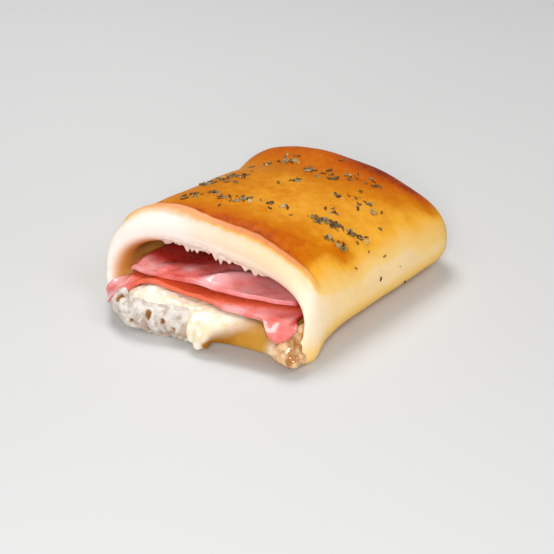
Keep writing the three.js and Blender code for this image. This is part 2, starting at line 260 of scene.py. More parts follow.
def sleeve_point(angle, station):
    angle, station = np.broadcast_arrays(angle, station)
    outside = outside_point(angle, np.clip(station, 0, 1))
    lip = lip_point(angle, np.clip(station - 1, 0, 1) * np.pi)
    cavity = cavity_point(angle, np.clip(station - 2, 0, 1))
    on_lip = np.where((station <= 2)[..., None], lip, cavity)
    return np.where((station <= 1)[..., None], outside, on_lip)


top_of_mouth = sleeve_point(np.array(np.pi / 2), np.array(2.0))
print("top of the mouth in mm:", np.round(top_of_mouth, 1))

# %% [markdown]
# ## Fillings as sheets
# Cheese and ham lie on the floor of the cavity and hang over the lower lip. Loose sheets could be dropped
# there by a cloth simulation. They are laid by formula instead, which keeps them in place and clear of
# each other. A place on a sheet is given across the mouth, from -1 at the left to 1 at the right, and
# inwards: 0 at the inner edge of the lip, 1 at the end of the cavity and -1 at the front of the lip.

# %% Places on the floor of the mouth
CLEARANCE = 0.35
LAYER_GAP = 0.6
NARROWING = 0.94
SLOPE_STEP = 0.02


def floor_angle(across):
    return 2 * np.pi - np.arccos(np.clip(signed_power(across, MOUTH_POWERS[1] / 2), -1, 1))


def floor_point(across, inwards):
    return sleeve_point(floor_angle(across), np.where(inwards < 0, 2 + inwards / 2, 2 + inwards))


def lifted_point(across, inwards, lift):
    run = floor_point(across, inwards + SLOPE_STEP) - floor_point(across, inwards - SLOPE_STEP)
    size = np.hypot(run[..., 1], run[..., 2])
    point = floor_point(across, inwards)
    point[..., 1] -= lift * run[..., 2] / size
    point[..., 2] += lift * run[..., 1] / size
    return point


floor_middle = floor_point(np.array(0.0), np.array(0.0))
print("middle of the floor in mm:", np.round(floor_middle, 1))

# %% Heights of the layers
SLAB_THICKNESS = 4.8
SLAB_LIFT = 3.2
MELT_THICKNESS = 4.2
HAM_THICKNESS = 1.9
PARTING = 3.1
SLAB_SLOPE = (-0.16, 0.02)
SLAB_STEP = 1.2
LOWER_HAM_START = 0.03

# Tongues of ham: reach, place across and half width
TONGUES = ((0.53, 0.95, 0.21), (1.05, -0.9, 0.165))


def slab_lift(across, inwards):
    across_slab = ramp(across, -0.78, -0.42) * (1 - ramp(across, -0.5, -0.1))
    return SLAB_LIFT * across_slab * (1 - ramp(inwards, 0.05, 0.4))


def cheese_front(across):
    return -0.16 - 1.14 * ramp(across, -0.01, 0.16)


def cheese_bottom(across, _inwards):
    return CLEARANCE + 0.5 * ramp(across, 0.8, 0.95)


def cheese_top(across, inwards):
    thickness = blend(SLAB_THICKNESS, MELT_THICKNESS, ramp(across, -0.3, 0.35))
    thickness = thickness * blend(0.76, 1, ramp(across, -0.78, -0.45))
    thinned = blend(1, 0.5, np.clip(inwards, 0, 1)) * blend(0.42, 1, ramp(inwards, -1.3, -0.5))
    step = SLAB_STEP * (1 - ramp(across, -0.08, -0.02)) * (1 - ramp(inwards, -0.1, 0.06))
    full = (thickness * thinned + slab_lift(across, inwards) + step) * ramp(across, -0.9, -0.76)
    sloped = blend(0.6, 1, np.clip((inwards - SLAB_SLOPE[0]) / (SLAB_SLOPE[1] - SLAB_SLOPE[0]), 0, 1))
    return CLEARANCE + full * blend(sloped, 1, ramp(across, -0.25, 0.1))


def lower_ham_front(across):
    tongues = sum(reach * plateau(across, place, width) for reach, place, width in TONGUES)
    ragged = 0.02 * np.sin(31 * across) + 0.015 * np.sin(53 * across)
    sag = 0.12 * ramp(across, 0.05, 0.7)
    return LOWER_HAM_START - tongues - sag + ragged * plateau(across, -0.87, 0.2)


def lower_ham_bottom(across, inwards):
    return cheese_top(across, inwards) + LAYER_GAP + 0.5 * hump(across, 0.1, 0.4)


def upper_ham_front(across):
    left = 0.06 * (1 - ramp(across, -0.9, -0.6))
    return 0.05 - left + 0.01 * np.sin(6 * across) + 0.07 * ramp(across, 0.2, 0.9)


def upper_ham_bottom(across, inwards):
    parting = PARTING * hump(across, -0.25, 0.6) * (1 - ramp(inwards, 0, 0.45))
    free = np.maximum(parting - slab_lift(across, inwards), 0)
    return lower_ham_bottom(across, inwards) + HAM_THICKNESS + LAYER_GAP + free


print("cheese in mm:", SLAB_THICKNESS, "ham in mm:", HAM_THICKNESS)

# %% [markdown]
# ## From arrays to pieces
# A piece needs a mesh, a finish, a body to ride on and the solid that it stands for. Those few steps are
# the same for all of them, so they are one helper. Values that only a finish reads, such as how brown a
# spot is baked, are stored on the points as named attributes.

# %% Helpers for the pieces
def grain(points, size, seed):
    shift = Vector((seed, 1.7 * seed, 2.3 * seed))
    flat = points.reshape(-1, 3) / size
    return np.array([noise.noise(Vector(place) + shift) for place in flat]).reshape(points.shape[:-1])


# Grains are layers of noise: height and size in mm, and seed
def rough(points, grains):
    return sum(height * grain(points, size, seed) for height, size, seed in grains)


def place_points(shape, points):
    for vertex, place in zip(shape.verts, points * MM):
        vertex.co = place


def piece_of(name, data, finish, solid, marks):
    for mark, values in marks.items():
        layer = data.attributes.new(mark, "FLOAT", "POINT")
        layer.data.foreach_set("value", np.ascontiguousarray(values, dtype=np.float32))
    data.materials.append(finish)
    data.shade_smooth()
    piece = bpy.data.objects.new(name, data)
    scene.collection.objects.link(piece)
    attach(piece, "root")
    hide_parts(solid)
    print(f"{name}: {len(data.vertices)} points, {len(data.polygons)} faces")
    return piece


def mesh_of(name, shape):
    data = bpy.data.meshes.new(name)
    shape.to_mesh(data)
    shape.free()
    return data


print("piece helpers ready")

# %% [markdown]
# ## Finishes
# Each finish is one Principled material with a few nodes. They could be wired by hand in the editor. A
# small class does it here, because the finishes share most of their nodes: noise on Object coordinates,
# the attributes of the points, ranges, colour ramps and mixes.

# %% Helper for the finishes
FIBRE_TURN = 0.6


def linear(red, green, blue):
    shares = (np.array((red, green, blue)) / 255 + 0.055) / 1.055
    return (*shares**2.4, 1)


class Finish:
    """One material, with short ways to add the nodes that the finishes share."""

    def __init__(self, name, **values):
        self.material = bpy.data.materials.new(name)
        self.material.use_nodes = True
        self.tree = self.material.node_tree
        self.shader = self.tree.nodes["Principled BSDF"]
        for socket, value in values.items():
            self.shader.inputs[socket.replace("_", " ")].default_value = value
        self.place = self.node("ShaderNodeTexCoord").outputs["Object"]

    def node(self, kind, **settings):
        made = self.tree.nodes.new(kind)
        for name, value in settings.items():
            setattr(made, name, value)
        return made

    def link(self, output, socket):
        self.tree.links.new(output, socket)

    def set(self, socket, output):
        self.link(output, self.shader.inputs[socket])

    def mark(self, name):
        return self.node("ShaderNodeAttribute", attribute_name=name).outputs["Fac"]

    # Noise of a size in mm; squeezed along Y it gives fibres, and their turn picks a part of the noise
    def cloud(self, size, detail=3, squeeze=1):
        made = self.node("ShaderNodeTexNoise")
        made.inputs["Scale"].default_value = 1 / (size * MM)
        made.inputs["Detail"].default_value = detail
        place = self.place
        if squeeze != 1:
            mapping = self.node("ShaderNodeMapping")
            mapping.inputs["Rotation"].default_value[2] = FIBRE_TURN
            mapping.inputs["Scale"].default_value = (1, squeeze, 1)
            self.link(place, mapping.inputs["Vector"])
            place = mapping.outputs["Vector"]
        self.link(place, made.inputs["Vector"])
        return made.outputs["Fac"]

    def range(self, value, low, high, start=0, end=1):
        made = self.node("ShaderNodeMapRange")
        for socket, number in (("From Min", start), ("From Max", end), ("To Min", low), ("To Max", high)):
            made.inputs[socket].default_value = number
        self.link(value, made.inputs["Value"])
        return made.outputs["Result"]

    def combine(self, first, second, operation="ADD"):
        made = self.node("ShaderNodeMath", operation=operation)
        self.link(first, made.inputs[0])
        self.link(second, made.inputs[1])
        return made.outputs[0]

    def colours(self, value, *stops):
        made = self.node("ShaderNodeValToRGB")
        points = made.color_ramp.elements
        while len(points) < len(stops):
            points.new(1)
        for point, (position, colour) in zip(points, stops):
            point.position = position
            point.color = colour
        self.link(value, made.inputs["Fac"])
        return made.outputs["Color"]

    # Inputs 6 and 7 of the Mix node are its two colours, and output 2 is the mixed colour
    def mix(self, share, first, second):
        made = self.node("ShaderNodeMix", data_type="RGBA")
        self.link(share, made.inputs[0])
        for socket, colour in ((made.inputs[6], first), (made.inputs[7], second)):
            if isinstance(colour, tuple):
                socket.default_value = colour
            else:
                self.link(colour, socket)
        return made.outputs[2]

    def bump(self, height, depth, strength=1.0):
        made = self.node("ShaderNodeBump")
        made.inputs["Strength"].default_value = strength
        made.inputs["Distance"].default_value = depth * MM
        self.link(height, made.inputs["Height"])
        self.set("Normal", made.outputs["Normal"])


print("finish helper ready")

# %% [markdown]
# ## Bread: the skin
# The bread is a ball pushed in at one side, like a fist in a balloon: one pole is the middle of the back
# and the other is the end of the cavity. A cup could also be lofted from rings. A ball is chosen because
# it is closed from the start, with no seams, and each of its rings and columns can be moved to any place
# on the sleeve. Rings are crowded on the lip, and columns where the bread is torn.

# %% Rings and columns of the skin
COLUMNS = 380
BACK_RINGS = 24
SIDE_RINGS = 62
LIP_RINGS = 96
CAVITY_RINGS = 32
SIDE_CROWDING = 1.25
TORN_CROWDING = 1.6
TORN_PLACE = (232, 34)
SHRED_CROWDING = 1.2
SHRED_PLACE = (98, 26)
FINE_STEPS = 6000


def ring_stations():
    back = np.linspace(0, 0.5, BACK_RINGS + 1)
    side = 1 - 0.5 * (1 - np.linspace(0, 1, SIDE_RINGS + 1)[1:]) ** SIDE_CROWDING
    lip = np.linspace(1, 2, LIP_RINGS + 1)[1:]
    cavity = 2 + np.sin(np.pi / 2 * np.linspace(0, 1, CAVITY_RINGS + 1)[1:])
    return np.concatenate([back, side, lip, cavity])


def column_angles():
    fine = np.linspace(0, 2 * np.pi, FINE_STEPS + 1)
    x, z = outside_section(fine, np.full_like(fine, -LENGTH / 4))
    middle = (fine[1:] + fine[:-1]) / 2
    torn = TORN_CROWDING * turn_hump(middle, *TORN_PLACE)
    torn = torn + SHRED_CROWDING * turn_hump(middle, *SHRED_PLACE)
    steps = np.hypot(np.diff(x), np.diff(z)) * (1 + torn)
    travelled = np.concatenate([[0], np.cumsum(steps)])
    even = np.linspace(0, travelled[-1], COLUMNS, endpoint=False)
    return np.interp(even, travelled, fine)


angles, stations = np.meshgrid(column_angles(), ring_stations())
skin = sleeve_point(angles, stations)
print("rings and columns:", skin.shape[:2])

# %% [markdown]
# ## Bread: relief
# Soft dough swells and sinks a little, and the crust ends in a raised edge above the mouth. Where the roll
# was torn open, the lower lip is lifted and heaped with lumpy, holed crumb, the right lip is thinned, and
# ragged points hang from the roof. A bump in the finish would only shade these. They are moved points
# instead, so that they show in the outline and in the mesh itself.

# %% Directions out of the skin
def outwards(points):
    round_the_ring = np.roll(points, -1, axis=1) - np.roll(points, 1, axis=1)
    normal = np.cross(round_the_ring, np.gradient(points, axis=0))
    return normal / np.maximum(np.linalg.norm(normal, axis=-1, keepdims=True), 1e-9)


normals = outwards(skin)
skin_x, skin_y, skin_z = np.moveaxis(skin, -1, 0)
upper = np.sin(angles) > 0
turn = stations - 1
print("lowest point in mm:", round(float(skin_z.min()), 2))

# %% Swelling of the dough and the edge of the crust
RIDGE_Y = -37.4
RIDGE_HEIGHT = 1.0
RIDGE_REACH = 1.55
GROOVE_DEPTH = 0.4
LIP_THINNING = 1.8
THIN_PLACE = (28, 30)
SWELL_GRAINS = ((0.45, 21, 1), (0.14, 6, 2))
RIDGE_GRAINS = ((0.7, 12, 3), (0.45, 2.6, 9))

free_of_floor = ramp(skin_z, 0.2, 4)
swell = rough(skin, SWELL_GRAINS)
at_left = ramp(-skin_x, 4, 26)
at_right = ramp(skin_x, 10, 30)
ridge_line = RIDGE_Y + rough(skin, RIDGE_GRAINS) + 1.8 * at_left - 0.8 * at_right
on_roof = ramp(skin_z, 25, 31) * (turn < 0.5)
ridge_reach = RIDGE_REACH * (1 + 0.85 * at_left)
ridge = plateau(skin_y, ridge_line, ridge_reach) * on_roof
groove = hump(skin_y, ridge_line + 2 * ridge_reach, RIDGE_REACH) * on_roof
thinned = LIP_THINNING * turn_hump(angles, *THIN_PLACE) * plateau(turn, 0.9, 0.34)
relief = free_of_floor * swell * (turn < 1.2) + RIDGE_HEIGHT * ridge - GROOVE_DEPTH * groove - thinned
print("ridge points:", int((ridge > 0.5).sum()))

# %% Torn crumb on the lower lip
CRUMB_ACROSS = (-1.0, -0.9, 0.02, 0.16)
CRUMB_SWELL = 0.6
CRUMB_GRAINS = ((1.5, 5, 4), (1.1, 2.6, 5), (0.4, 1.3, 6))
PORE_DEPTH = 2

# Pores: place across the mouth, place round the lip and radius in mm
PORES = (
    (-0.66, 0.7, 1.6),
    (-0.335, 0.67, 1.4),
    (-0.2, 0.6, 0.9),
    (-0.47, 0.42, 0.8),
    (-0.08, 0.5, 0.8),
)

across_floor = signed_power(np.cos(angles), 2 / MOUTH_POWERS[1])
covered = 1 + np.minimum(cheese_front(across_floor), lower_ham_front(across_floor)) / 2
in_crumb = ramp(across_floor, *CRUMB_ACROSS[:2]) * (1 - ramp(across_floor, *CRUMB_ACROSS[2:]))
in_crumb = in_crumb * ramp(turn, 0.02, 0.14) * (turn < 1.1) * ~upper
open_crumb = in_crumb * (1 - ramp(turn, covered - 0.06, covered + 0.06))
pores = np.zeros_like(relief)
for across, place, radius in PORES:
    centre = sleeve_point(floor_angle(np.array(across)), np.array(1 + place))
    away = np.linalg.norm(skin - centre, axis=-1) * (1 + 0.3 * grain(skin, 2, 10))
    pores = np.maximum(pores, np.clip(1 - away / radius, 0, 1) ** 0.5)
lumps = rough(skin, CRUMB_GRAINS)
relief = relief + open_crumb * (CRUMB_SWELL + lumps - PORE_DEPTH * pores)
# The crumb is made darker towards its lower right foot, and painted shade darkens the pits between the
# lumps.
darker_foot = 0.14 * ramp(across_floor, -0.45, -0.1) * (1 - ramp(turn, 0.5, 0.85))
pit_shade_and_foot = darker_foot + 0.34 * ramp(-lumps, 0, 0.9)
print("pore points:", int((pores > 0).sum()))

# %% Lift of the lip
LEFT_LIFT = 4.5
RIGHT_LIFT = 5.5
LIFT_HEIGHT = 10
HEAPED = 6
ROOF_LIFT = 2.4
ROOF_LIFT_PLACE = (88, 50)


def lip_lift(x, y, z):
    sides = LEFT_LIFT * ramp(-x, 12, 36) + RIGHT_LIFT * plateau(x, 26, 21)
    return sides * ramp(-y, 46, 58) * (1 - np.clip(z / LIFT_HEIGHT, 0, 1))


on_heap = ramp(across_floor, -0.84, -0.7) * (1 - ramp(across_floor, -0.1, 0.12))
on_heap = on_heap * (1 - ramp(turn, 0.9, 0.98))
heap = HEAPED * on_heap * ramp(-skin_y, 44, 58) * np.clip(skin_z / LIFT_HEIGHT, 0, 1)
roof = ROOF_LIFT * plateau(turn, 0.95, 0.3) * turn_hump(angles, *ROOF_LIFT_PLACE)
raised = np.where(upper, roof, lip_lift(skin_x, skin_y, skin_z) * (turn < 1.1) + heap)
print("lip lifted by up to", round(float(raised.max()), 1), "mm")

# %% Torn points under the roof
# Shreds: place across, half width and drop in mm
SHREDS = (
    (-26, 2.2, 1.4),
    (-21, 3.0, 0.9),
    (-16.6, 1.3, 3.2),
    (-14.4, 1.1, 1.8),
    (-12.2, 1.5, 2.8),
    (-7.5, 2.8, 1.0),
    (-3.4, 1.3, 2.6),
    (-1.2, 1.3, 3.8),
    (0.8, 1.0, 1.8),
    (2.6, 1.4, 3.0),
    (6.6, 2.4, 1.2),
    (10.2, 1.1, 2.2),
    (12.2, 1.1, 1.6),
    (14.4, 1.6, 3.0),
    (18.6, 3.0, 1.2),
)
SHRED_TURN = 0.86
SHRED_TURN_REACH = 0.07
ROOF_GRAINS = ((0.55, 2.2, 7), (0.4, 0.9, 8))

ragged = np.abs(grain(skin * (1, 0, 0), 1.6, 12)) + 0.5 * np.abs(grain(skin * (1, 0, 0), 0.7, 13))
drop = 1.2 * ragged
for place, width, size in SHREDS:
    point = np.clip(1 - np.abs(skin_x - place) / (1.35 * width), 0, 1)
    drop = np.maximum(drop, size * point + 0.7 * ragged)
along_edge = ramp(skin_x, -31, -26) * (1 - ramp(skin_x, 17, 24)) * upper
torn_roof = ramp(turn, 0.5, 0.78) * (turn < 1.15) * along_edge
drop = drop * hump(turn, SHRED_TURN, SHRED_TURN_REACH) * along_edge
relief = relief + torn_roof * rough(skin, ROOF_GRAINS)
print("longest shred in mm:", round(float(drop.max()), 2))

# %% [markdown]
# ## Bread: browning
# The oven browns what faces it: the crown is golden, a dark band lies behind the edge of the crust and
# along the back, and the sides and the lip stay pale. Painted shade is mixed in as well: behind the raised
# edge, low on the sides and at the outer left of the lip. This could be painted as a picture. It is worked
# out from each point's place instead, and stored as attributes that the finish turns into colour.

# %% Tone of the crust
BAND_BACK_Y = -27
BAND_BACK_SLOPE = 0.16
SIDE_TONE = 0.1
CROWN_TONE = 0.43
BAND_TONE = 0.19
BACK_TONE = 0.19
FOOT_BAKE_AND_SHADE = 0.2

# Ovals: middle, half length and half width in mm
DARK_SPOT = (39, -16, 5, 6)
LIGHT_PATCH = (12, -7, 25, 18)


def oval(x, y, half_length, half_width):
    return hump(np.hypot((skin_x - x) / half_length, (skin_y - y) / half_width), 0, 1)


cloud = grain(skin, 11, 21)
mottle = grain(skin, 3.2, 22)
softness = blend(9, 0.7, ramp(skin_z, 20, 28))
behind = ramp(skin_y, ridge_line - 0.9 - softness, ridge_line - 0.9 + softness)
height = ramp(skin_z + 1.2 * cloud - 1.6 * (1 - ramp(skin_y, -40, -20)), 20, 33)
band_back = BAND_BACK_Y + BAND_BACK_SLOPE * skin_x + 6 * ramp(skin_x, 12, 30) + 3 * cloud
band = behind * (1 - ramp(skin_y, band_back - 7, band_back + 5)) * ramp(skin_z, 26, 31)
band = band * (1 - ramp(skin_x, 33, 39)) + oval(*DARK_SPOT)
# Darker still just behind the raised edge: painted shade in the groove there
band = band * (1 + 0.25 * hump(skin_y, ridge_line + 2.6, 2) + 0.3 * mottle)
back = ramp(skin_y + 2 * cloud, 14, 48) * ramp(skin_z + 2 * mottle, 12, 24)
back = back * blend(0.7, 1, ramp(skin_x, -30, 5)) * blend(1, 0.7, ramp(skin_x, 25, 40))
rim = ramp(skin_y + 1.5 * cloud, 35, 47) * ramp(skin_z + 2 * mottle, 20, 29)
rim = rim * (0.03 + 0.12 * ramp(skin_x, -15, 5) + 0.17 * ramp(skin_x, 20, 38))
paler = 0.13 * ramp(skin_x, 15, 42) + 0.1 * oval(*LIGHT_PATCH)
crown = height * (CROWN_TONE - paler + 0.06 * cloud + 0.04 * mottle)
# Darker towards the base: partly crust baked against the tray, partly painted shade
foot = FOOT_BAKE_AND_SHADE * (1 - ramp(skin_z, 2, 15))
outside_tone = SIDE_TONE + crown + BAND_TONE * band + BACK_TONE * back + rim + foot
print("darkest crust:", round(float(outside_tone.max()), 2))

# %% Tone of the lip
lip_tone = 0.008 + 0.042 * ramp(skin_x, -25, 30) + 0.012 * cloud
# Golden on the outer left of the lip: partly the pale crust there, partly painted shade where the surface
# turns away
lip_tone = lip_tone + 0.14 * (1 - ramp(turn, 0, 0.32)) * ramp(-skin_x, 28, 46)
# Golden low on the right lip: partly the colour of its foot, partly painted shade
lip_tone = lip_tone + 0.1 * (1 - ramp(skin_z, 2, 14)) * ramp(skin_x, 20, 36)
in_front = on_roof * ramp(skin_y, ridge_line - 9, ridge_line) * ramp(skin_x, -34, -6)
lip_tone = lip_tone + 0.03 * in_front
bake = np.where(turn < 0.5, blend(lip_tone, outside_tone, behind), lip_tone)
print("browning from", round(float(bake.min()), 2), "to", round(float(bake.max()), 2))

# %% Grease, tears and a painted highlight on the crust edge
golden_lip = ramp(across_floor, -0.02, 0.2) * (1 - ramp(across_floor, 0.8, 0.95)) * ~upper
golden_lip = golden_lip * ramp(turn, 0, 0.2) * (turn < 1.3)
left_wall = ramp(turn, 0.5, 0.86) * (1 - ramp(skin_x, -34, -22))
inner_wall = np.maximum(left_wall, ramp(turn, 0.84, 0.98) * ramp(skin_x, 24, 34))
grease = np.clip(golden_lip + 0.95 * inner_wall, 0, 1)
tear = np.clip(in_crumb + 0.3 * torn_roof, 0, 1)
# The salmon colour on the raised edge of the crust is a painted highlight, where the edge catches light; a
# faint share of it lies on the lip in front.
edge_highlight = ridge * blend(1, 0.6, ramp(skin_x, -15, 15))
edge_highlight = np.maximum(edge_highlight, 0.32 * in_front * (1 - behind))
print("greasy points:", int((grease > 0.5).sum()))

# %% [markdown]
# ## Bread: finish
# Crust turns from cream over gold to dark brown as it bakes, while torn crumb stays white, with painted
# shade in its holes and pits. A material for each part of the skin would leave hard borders. One material
# is used: a colour ramp reads how brown a point is, and the other attributes mix in grease, crumb, painted
# shade in the crumb's holes and pits, and a painted highlight on the edge of the crust.

# %% Finish of the bread
CREAM = linear(252, 244, 236)
PALE_CRUST = linear(250, 208, 128)
LIGHT_GOLD = linear(238, 172, 54)
GOLD = linear(206, 122, 10)
ORANGE_BROWN = linear(190, 86, 4)
BROWN = linear(146, 50, 3)
DARK_BROWN = linear(92, 26, 4)
CRUMB_WHITE = linear(228, 220, 212)
CRUMB_SHADE = linear(180, 162, 144)
# Brown of the painted shade in the crumb's pores and pits
CRUMB_HOLE_SHADE = linear(150, 100, 52)
# Salmon of the painted highlight on the crust edge
CRUST_EDGE_HIGHLIGHT = linear(250, 176, 122)
GREASED = linear(216, 142, 46)


def bread_finish():
    finish = Finish(
        "bread",
        Subsurface_Weight=0.2,
        Subsurface_Scale=0.002,
        Subsurface_Radius=(0.9, 0.6, 0.35),
        Specular_IOR_Level=0.07,
        IOR=1.4,
    )
    mottled = finish.range(finish.cloud(2.4, 4), 0.89, 1.11)
    specks = finish.range(finish.cloud(1.1, 2), 0, 0.14, 0.58, 0.74)
    tone = finish.combine(finish.mark("bake"), finish.combine(mottled, specks), "MULTIPLY")
    crust = finish.colours(
        tone,
        (0.0, CREAM),
        (0.13, PALE_CRUST),
        (0.34, LIGHT_GOLD),
        (0.52, GOLD),
        (0.72, ORANGE_BROWN),
        (0.88, BROWN),
        (1.0, DARK_BROWN),
    )
    greased = finish.mix(finish.mark("grease"), crust, GREASED)
    # Painted highlight on the raised edge of the crust
    highlighted = finish.mix(finish.range(finish.mark("ridge"), 0, 0.85), greased, CRUST_EDGE_HIGHLIGHT)
    crumb = finish.colours(finish.cloud(2.6, 4), (0.3, CRUMB_SHADE), (0.56, CRUMB_WHITE))
    # Painted shade in the pores and pits of the crumb, and its darker foot
    crumb_with_shade = finish.mix(finish.mark("pore"), crumb, CRUMB_HOLE_SHADE)
    finish.set("Base Color", finish.mix(finish.mark("tear"), highlighted, crumb_with_shade))
    finish.set("Roughness", finish.range(finish.mark("bake"), 0.62, 0.4, 0.1, 0.7))
    finish.bump(finish.combine(finish.cloud(0.8, 4), finish.cloud(3.5, 3)), 0.2, 0.5)
    return finish.material


print("bread finish ready")

# %% Make the bread
def ball(columns, rings):
    shape = bmesh.new()
    bmesh.ops.create_uvsphere(shape, u_segments=columns, v_segments=rings, radius=1)
    bmesh.ops.reverse_faces(shape, faces=shape.faces)
    places = np.array([vertex.co for vertex in shape.verts])
    round_the_pole = np.arctan2(places[:, 1], places[:, 0]) / (2 * np.pi)
    from_the_pole = np.arccos(np.clip(places[:, 2], -1, 1)) / np.pi
    column = np.rint(round_the_pole * columns).astype(int) % columns
    ring = np.rint(from_the_pole * rings).astype(int)
    return shape, ring, column


def make_bread():
    shape, ring, column = ball(skin.shape[1], skin.shape[0] - 1)
    points = skin + relief[..., None] * normals
    points[..., 2] = np.maximum(points[..., 2] - drop + raised, 0)
    place_points(shape, points[ring, column])
    # The pore mark holds painted shade in the pores and pits, with the darker foot of the crumb.
    hole_shade_and_foot = np.maximum(ramp(pores, 0.1, 0.6), pit_shade_and_foot)
    # The ridge mark carries the painted highlight on the crust edge
    marks = {"bake": bake, "tear": tear, "grease": grease, "ridge": edge_highlight, "pore": hole_shade_and_foot}
    marks = {name: values[ring, column] for name, values in marks.items()}
    return piece_of("bread", mesh_of("bread", shape), bread_finish(), "bread_roll", marks)


bread = make_bread()

# %% [markdown]
# ## Ham
# Two slices of cooked ham lie over the cheese, and the lower one hangs out at both sides. A slice could
# be a plain sheet with a Solidify modifier. A grid that is extruded once is used, because its two faces
# can then follow the layers under and over it, and a Subdivision Surface rounds the cut edge.

# %% A sheet with two faces
def sheet(columns, rows):
    shape = bmesh.new()
    bmesh.ops.create_grid(shape, x_segments=columns, y_segments=rows, size=1)
    made = bmesh.ops.extrude_face_region(shape, geom=shape.faces[:], use_keep_orig=True)
    lower = [part for part in made["geom"] if isinstance(part, bmesh.types.BMVert)]
    bmesh.ops.translate(shape, verts=lower, vec=(0, 0, -1))
    bmesh.ops.recalc_face_normals(shape, faces=shape.faces)
    places = np.array([vertex.co for vertex in shape.verts])
    across, inwards = (places[:, :2] / np.abs(places[:, :2]).max(axis=0) + 1).T / 2
    return shape, across, inwards, places[:, 2] > -0.5


def sheet_places(shares, sides, front, end):
    across = blend(*sides, shares[0])
    inwards = blend(front(across), end, shares[1] ** 1.5)
    return across * blend(1, NARROWING, ramp(inwards, -0.6, 0.3)), inwards


def laid_sheet(across, inwards, on_top, bottom, top):
    lift = np.where(on_top, top(across, inwards), bottom(across, inwards))
    return lifted_point(across, inwards, lift)


def rounded(piece):
    smoothing = piece.modifiers.new("rounding", "SUBSURF")
    smoothing.levels = 1
    smoothing.render_levels = 1


print("sheet helpers ready")

# %% [markdown]
# ## Ham: finish
# Cooked ham is moist and pink, with pale fat and fine fibres. Painted shade makes it a deeper red inside
# the roll and an orange red under the upper slice, and a painted highlight lies on the fat along the fold
# of the upper slice. A picture of ham could be wrapped round the slices. Squeezed noise gives the fibres
# instead, because it fits any slice, and a thin glossy coat gives the moist sheen.

# %% Finish of the ham
# Red of the painted shade deep inside the roll
HAM_SHADE_RED = linear(180, 34, 20)
# Orange red of the painted shade under the upper slice
HAM_SHADOW_ORANGE = linear(240, 104, 58)
HAM_DEEP = linear(216, 80, 72)
HAM_PINK = linear(242, 122, 115)
HAM_PALE = linear(247, 184, 188)


def ham_finish():
    finish = Finish(
        "ham",
        Subsurface_Weight=0.3,
        Subsurface_Scale=0.003,
        Subsurface_Radius=(1, 0.4, 0.3),
        Coat_Weight=0.8,
        Coat_Roughness=0.08,
    )
    fibres = finish.range(finish.cloud(2.2, 4, squeeze=3), 0, 0.2)
    muscle = finish.combine(finish.range(finish.cloud(9, 3), 0, 0.8), fibres)
    meat = finish.colours(muscle, (0.32, HAM_DEEP), (0.5, HAM_PINK), (0.72, HAM_PALE))
    # Pale fat, and a painted highlight along the fold of the upper slice
    with_fat_and_highlight = finish.mix(finish.mark("fat_and_highlight"), meat, HAM_PALE)
    # Painted shade, orange red, under the edge of the upper slice
    gap_shade = finish.mix(finish.mark("gap_shade"), with_fat_and_highlight, HAM_SHADOW_ORANGE)
    # Painted shade: a deep red inside the roll and next to the lip
    finish.set("Base Color", finish.mix(finish.mark("painted_shade"), gap_shade, HAM_SHADE_RED))
    finish.set("Roughness", finish.range(finish.cloud(3, 3), 0.2, 0.4))
    finish.bump(finish.cloud(1.8, 3, squeeze=2), 0.14, 0.4)
    return finish.material


ham = ham_finish()
print("ham finish ready")

# %% Lower slice
HAM_COLUMNS = 150
HAM_ROWS = 56
LOWER_HAM_SIDES = (-0.95, 0.985)
LOWER_HAM_END = 0.78
LOWER_HAM_GRAINS = ((0.25, 9, 31), (0.18, 3.5, 34))


def lower_ham_top(across, inwards):
    return lower_ham_bottom(across, inwards) + HAM_THICKNESS


def make_lower_ham():
    shape, *shares = sheet(HAM_COLUMNS, HAM_ROWS)
    places = sheet_places(shares, LOWER_HAM_SIDES, lower_ham_front, LOWER_HAM_END)
    points = laid_sheet(*places, shares[2], lower_ham_bottom, lower_ham_top)
    flat = points * (1, 1, 0)
    points[:, 2] += rough(flat, LOWER_HAM_GRAINS)
    place_points(shape, points)
    covered = places[1] - upper_ham_front(places[0])
    fat_and_highlight = 0.5 * ramp(grain(flat, 7, 32), 0.25, 0.6)
    # Painted shade on the lower slice where the upper slice covers it, and along its right edge by the lip
    right_edge_shade = ramp(places[0], 0.9, 0.95) * ramp(places[1], -0.5, -0.2)
    painted_shade = np.maximum(0.5 * ramp(covered, 0.05, 0.2), right_edge_shade)
    # Painted shade, orange red, on the lower slice just under the edge of the upper slice
    gap_shade_from = blend(-0.09, -0.05, ramp(places[0], 0.1, 0.6))
    gap_shade = 0.9 * ramp(covered, gap_shade_from, -0.01)
    marks = {"fat_and_highlight": fat_and_highlight, "painted_shade": painted_shade, "gap_shade": gap_shade}
    data = mesh_of("ham_slice_lower", shape)
    rounded(piece_of("ham_slice_lower", data, ham, "ham_lower", marks))


make_lower_ham()

# %% Upper slice
FOLD_START = (0, -47)
FOLD_HEADING = math.radians(64)
FOLD_HEIGHT = 2.8
FOLD_REACH = 4.2
CURL_HEIGHT = 1.5
FOLD_HIGHLIGHT_REACH = 4.5
UPPER_HAM_SIDES = (-0.94, 0.88)
UPPER_HAM_END = 0.7
UPPER_HAM_GRAINS = ((0.5, 8, 33), (0.22, 3.2, 35))


def upper_ham_top(across, inwards):
    return upper_ham_bottom(across, inwards) + HAM_THICKNESS


